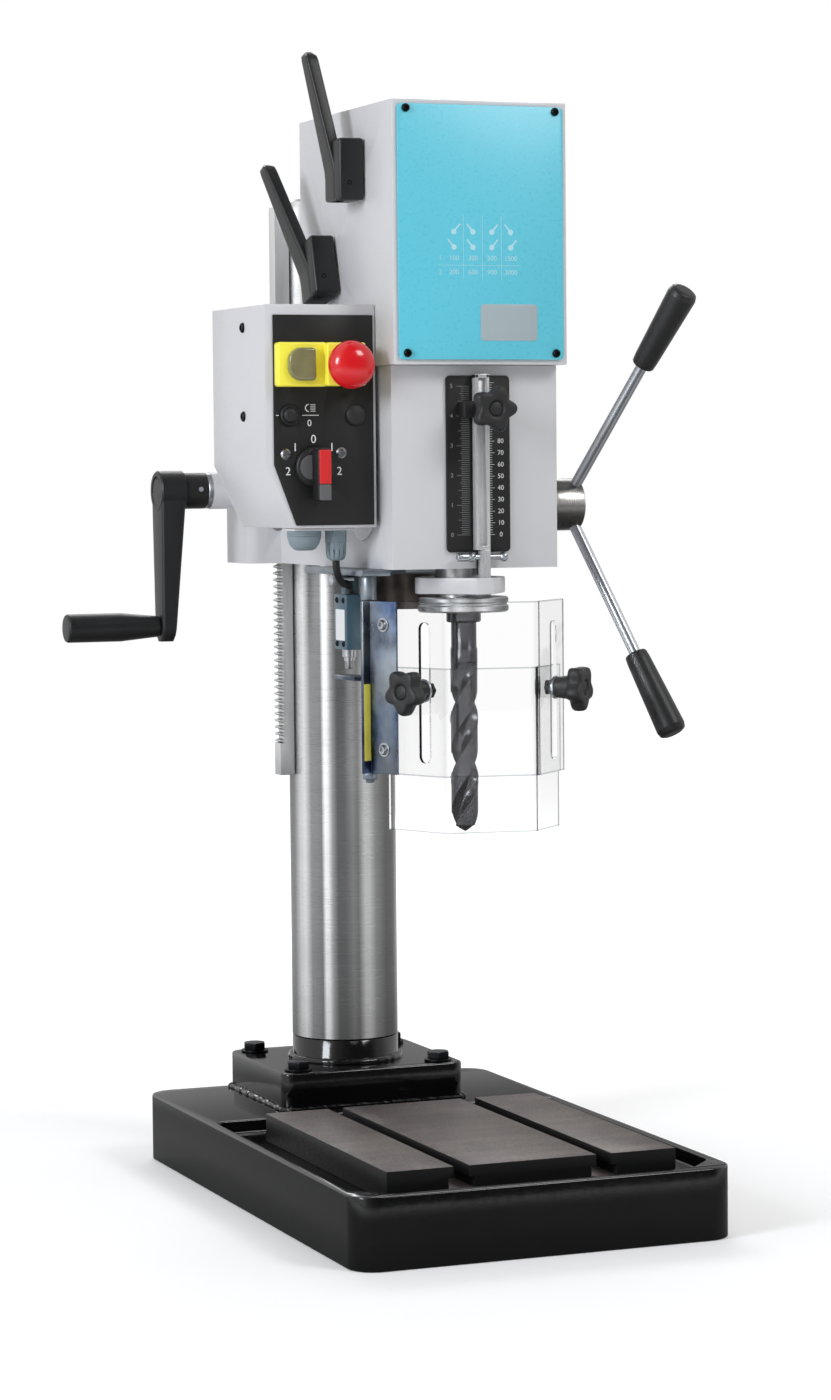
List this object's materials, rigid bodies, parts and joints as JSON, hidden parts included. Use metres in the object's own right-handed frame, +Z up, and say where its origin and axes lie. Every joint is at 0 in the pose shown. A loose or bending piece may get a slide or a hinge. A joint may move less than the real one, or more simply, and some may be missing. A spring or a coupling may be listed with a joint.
{
  "type": "bench drill press",
  "caption": "Gear-driven bench drill press with slotted base, round column, crank-raised head, three-spoke feed, depth gauge, control box and clear swinging guard.",
  "frame": {"origin": "on the bench, under the middle of the base", "axes": "+Z up, +X to the operator's right, -Y towards the operator, +Y towards the column"},
  "size_m": [0.4618, 0.581, 1.014],
  "materials": {
    "black_paint": "gloss black paint",
    "grey_paint": "satin light grey paint",
    "turquoise_panel": "satin turquoise",
    "turned_steel": "turned bright steel",
    "chrome": "polished chrome",
    "dark_steel": "blackened steel",
    "iron": "machined cast iron",
    "black_plastic": "satin black plastic",
    "black_panel": "matt black sheet",
    "yellow_plastic": "satin yellow plastic",
    "red_plastic": "satin red plastic",
    "clear_plastic": "clear polycarbonate",
    "button_plastic": "black plastic",
    "gland_plastic": "blue-grey plastic",
    "switch_grey": "blue-grey die casting",
    "zinc": "zinc plated sheet"
  },
  "bodies": {
    "frame": {"base_casting": "black_paint", "column_flange": "black_paint", "flange_bolt_1": "dark_steel", "flange_bolt_2": "dark_steel", "flange_bolt_3": "dark_steel", "flange_bolt_4": "dark_steel", "column": "turned_steel", "lift_rack": "turned_steel"},
    "head": {"head_casting": "grey_paint", "clamp_bolt": "dark_steel", "gearbox_housing": "grey_paint", "front_panel": "turquoise_panel", "bearing_plate": "iron", "motor_stator": "iron", "scale_plate": "black_panel", "feed_bush": "dark_steel", "spring_case": "dark_steel", "control_box": "grey_paint", "face_panel": "black_panel", "estop_housing": "yellow_plastic", "switch_block": "black_plastic", "switch_cable": "gland_plastic", "guard_carrier": "black_paint", "limit_switch": "switch_grey"},
    "lift_crank": {"crank": "black_plastic", "worm_shaft": "turned_steel"},
    "crank_handle": {"crank_grip": "black_plastic"},
    "lift_shaft": {"lift_gears": "turned_steel"},
    "feed_capstan": {"feed_shaft": "turned_steel", "capstan_hub": "turned_steel", "capstan_handle_1": "black_plastic", "capstan_handle_2": "black_plastic", "capstan_handle_3": "black_plastic"},
    "quill_unit": {"quill": "turned_steel", "quill_yoke": "grey_paint", "depth_bar": "chrome", "spindle_bearing": "turned_steel"},
    "spindle_unit": {"spindle": "turned_steel", "drill_bit": "dark_steel"},
    "stop_block": {"depth_stop": "black_plastic"},
    "stop_knob": {"depth_knob": "black_plastic"},
    "drive_sleeve": {"spindle_sleeve": "turned_steel"},
    "collar": {"clutch_collar": "turned_steel"},
    "lay_shaft": {"layshaft": "turned_steel"},
    "shift_gears": {"sliding_gears": "turned_steel"},
    "idler": {"idler_gear": "turned_steel"},
    "rotor": {"motor_rotor": "turned_steel"},
    "lever_upper": {"upper_lever": "black_plastic"},
    "lever_lower": {"lower_lever": "black_plastic"},
    "fork_upper": {"upper_fork": "iron"},
    "fork_lower": {"lower_fork": "iron"},
    "stop_button": {"estop_button": "red_plastic"},
    "lamp_button": {"light_button": "button_plastic"},
    "speed_knob": {"rotary_knob": "black_plastic"},
    "guard": {"guard_bracket": "zinc", "upper_shield": "clear_plastic"},
    "sliding_shield": {"lower_shield": "clear_plastic"},
    "shield_knob_left": {"left_knob": "black_plastic"},
    "shield_knob_right": {"right_knob": "black_plastic"},
    "plunger": {"switch_plunger": "turned_steel"}
  },
  "joints": [
    {"name": "head_lift", "type": "slide", "parent": "frame", "child": "head", "axis": [0, 0, 1], "range_m": [-0.19, 0.1]},
    {"name": "crank_turn", "type": "hinge", "parent": "head", "child": "lift_crank", "pos_m": [-0.17, 0.175, 0.6355], "axis": [1, 0, 0], "range_deg": [-8190, 15556]},
    {"name": "grip_turn", "type": "hinge", "parent": "lift_crank", "child": "crank_handle", "pos_m": [-0.22, 0.175, 0.5115], "axis": [1, 0, 0], "continuous": true},
    {"name": "lift_shaft_turn", "type": "hinge", "parent": "head", "child": "lift_shaft", "pos_m": [-0.077, 0.19, 0.604], "axis": [0, 1, 0], "range_deg": [-778, 410]},
    {"name": "feed_turn", "type": "hinge", "parent": "head", "child": "feed_capstan", "pos_m": [0.1, -0.065, 0.621], "axis": [1, 0, 0], "range_deg": [0, 410.6], "stiffness_Nm_per_rad": 0.12, "springref_deg": -916.73},
    {"name": "quill_feed", "type": "slide", "parent": "head", "child": "quill_unit", "axis": [0, 0, -1], "range_m": [0, 0.129]},
    {"name": "spindle_turn", "type": "hinge", "parent": "quill_unit", "child": "spindle_unit", "pos_m": [0, -0.105, 0.6], "axis": [0, 0, 1], "continuous": true},
    {"name": "stop_slide", "type": "slide", "parent": "quill_unit", "child": "stop_block", "axis": [0, 0, 1], "range_m": [-0.1, 0.018]},
    {"name": "stop_knob_turn", "type": "hinge", "parent": "stop_block", "child": "stop_knob", "pos_m": [0.002, -0.165, 0.704], "axis": [0, -1, 0], "range_deg": [0, 360]},
    {"name": "sleeve_turn", "type": "hinge", "parent": "head", "child": "drive_sleeve", "pos_m": [0, -0.105, 0.83], "axis": [0, 0, 1], "continuous": true},
    {"name": "collar_shift", "type": "slide", "parent": "drive_sleeve", "child": "collar", "axis": [0, 0, 1], "range_m": [-0.005, 0.005]},
    {"name": "motor_turn", "type": "hinge", "parent": "head", "child": "rotor", "pos_m": [0, 0.026, 0.85], "axis": [0, 0, 1], "continuous": true},
    {"name": "idler_turn", "type": "hinge", "parent": "head", "child": "idler", "pos_m": [0.02329, -0.00652, 0.765], "axis": [0, 0, 1], "continuous": true},
    {"name": "layshaft_turn", "type": "hinge", "parent": "head", "child": "lay_shaft", "pos_m": [0.03, -0.0601, 0.8], "axis": [0, 0, 1], "continuous": true},
    {"name": "gear_shift", "type": "slide", "parent": "lay_shaft", "child": "shift_gears", "axis": [0, 0, 1], "range_m": [-0.006, 0.006]},
    {"name": "upper_lever_turn", "type": "hinge", "parent": "head", "child": "lever_upper", "pos_m": [-0.095, -0.072, 0.91], "axis": [1, 0, 0], "range_deg": [-20, 20]},
    {"name": "lower_lever_turn", "type": "hinge", "parent": "head", "child": "lever_lower", "pos_m": [-0.095, -0.004, 0.829], "axis": [1, 0, 0], "range_deg": [-17, 17]},
    {"name": "upper_fork_lift", "type": "slide", "parent": "head", "child": "fork_upper", "axis": [0, 0, 1], "range_m": [-0.006, 0.006]},
    {"name": "lower_fork_lift", "type": "slide", "parent": "head", "child": "fork_lower", "axis": [0, 0, 1], "range_m": [-0.005, 0.005]},
    {"name": "stop_press", "type": "slide", "parent": "head", "child": "stop_button", "axis": [0, 1, 0], "range_m": [0, 0.005], "stiffness_N_per_m": 1000, "springref_m": -0.003},
    {"name": "lamp_press", "type": "slide", "parent": "head", "child": "lamp_button", "axis": [0, 1, 0], "range_m": [0, 0.002], "stiffness_N_per_m": 800, "springref_m": -0.002},
    {"name": "speed_turn", "type": "hinge", "parent": "head", "child": "speed_knob", "pos_m": [-0.138, -0.118, 0.656], "axis": [0, -1, 0], "range_deg": [-60, 60]},
    {"name": "guard_swing", "type": "hinge", "parent": "head", "child": "guard", "pos_m": [-0.0851, -0.09753, 0.467], "axis": [0, 0, 1], "range_deg": [-105, 0]},
    {"name": "shield_slide", "type": "slide", "parent": "guard", "child": "sliding_shield", "axis": [0, 0, 1], "range_m": [-0.055, 0.05]},
    {"name": "left_knob_turn", "type": "hinge", "parent": "sliding_shield", "child": "shield_knob_left", "pos_m": [-0.07832, -0.17028, 0.466], "axis": [-0.91, -0.4147, 0], "range_deg": [0, 360]},
    {"name": "right_knob_turn", "type": "hinge", "parent": "sliding_shield", "child": "shield_knob_right", "pos_m": [0.07094, -0.18404, 0.466], "axis": [0.7133, -0.7009, 0], "range_deg": [0, 360]},
    {"name": "plunger_press", "type": "slide", "parent": "head", "child": "plunger", "axis": [0, 0, 1], "range_m": [0, 0.0014], "stiffness_N_per_m": 400, "springref_m": -0.003}
  ],
  "couplings": [
    {"joint": "crank_turn", "follows": "head_lift", "rad_per_m": -1428.6},
    {"joint": "lift_shaft_turn", "follows": "head_lift", "rad_per_m": 71.429},
    {"joint": "quill_feed", "follows": "feed_turn", "m_per_rad": 0.018},
    {"joint": "sleeve_turn", "follows": "spindle_turn", "ratio": 1},
    {"joint": "idler_turn", "follows": "motor_turn", "ratio": -0.66667},
    {"joint": "layshaft_turn", "follows": "motor_turn", "ratio": 0.53333},
    {"joint": "upper_fork_lift", "follows": "upper_lever_turn", "m_per_rad": -0.016},
    {"joint": "gear_shift", "follows": "upper_lever_turn", "m_per_rad": -0.016},
    {"joint": "lower_fork_lift", "follows": "lower_lever_turn", "m_per_rad": -0.015},
    {"joint": "collar_shift", "follows": "lower_lever_turn", "m_per_rad": -0.015}
  ]
}
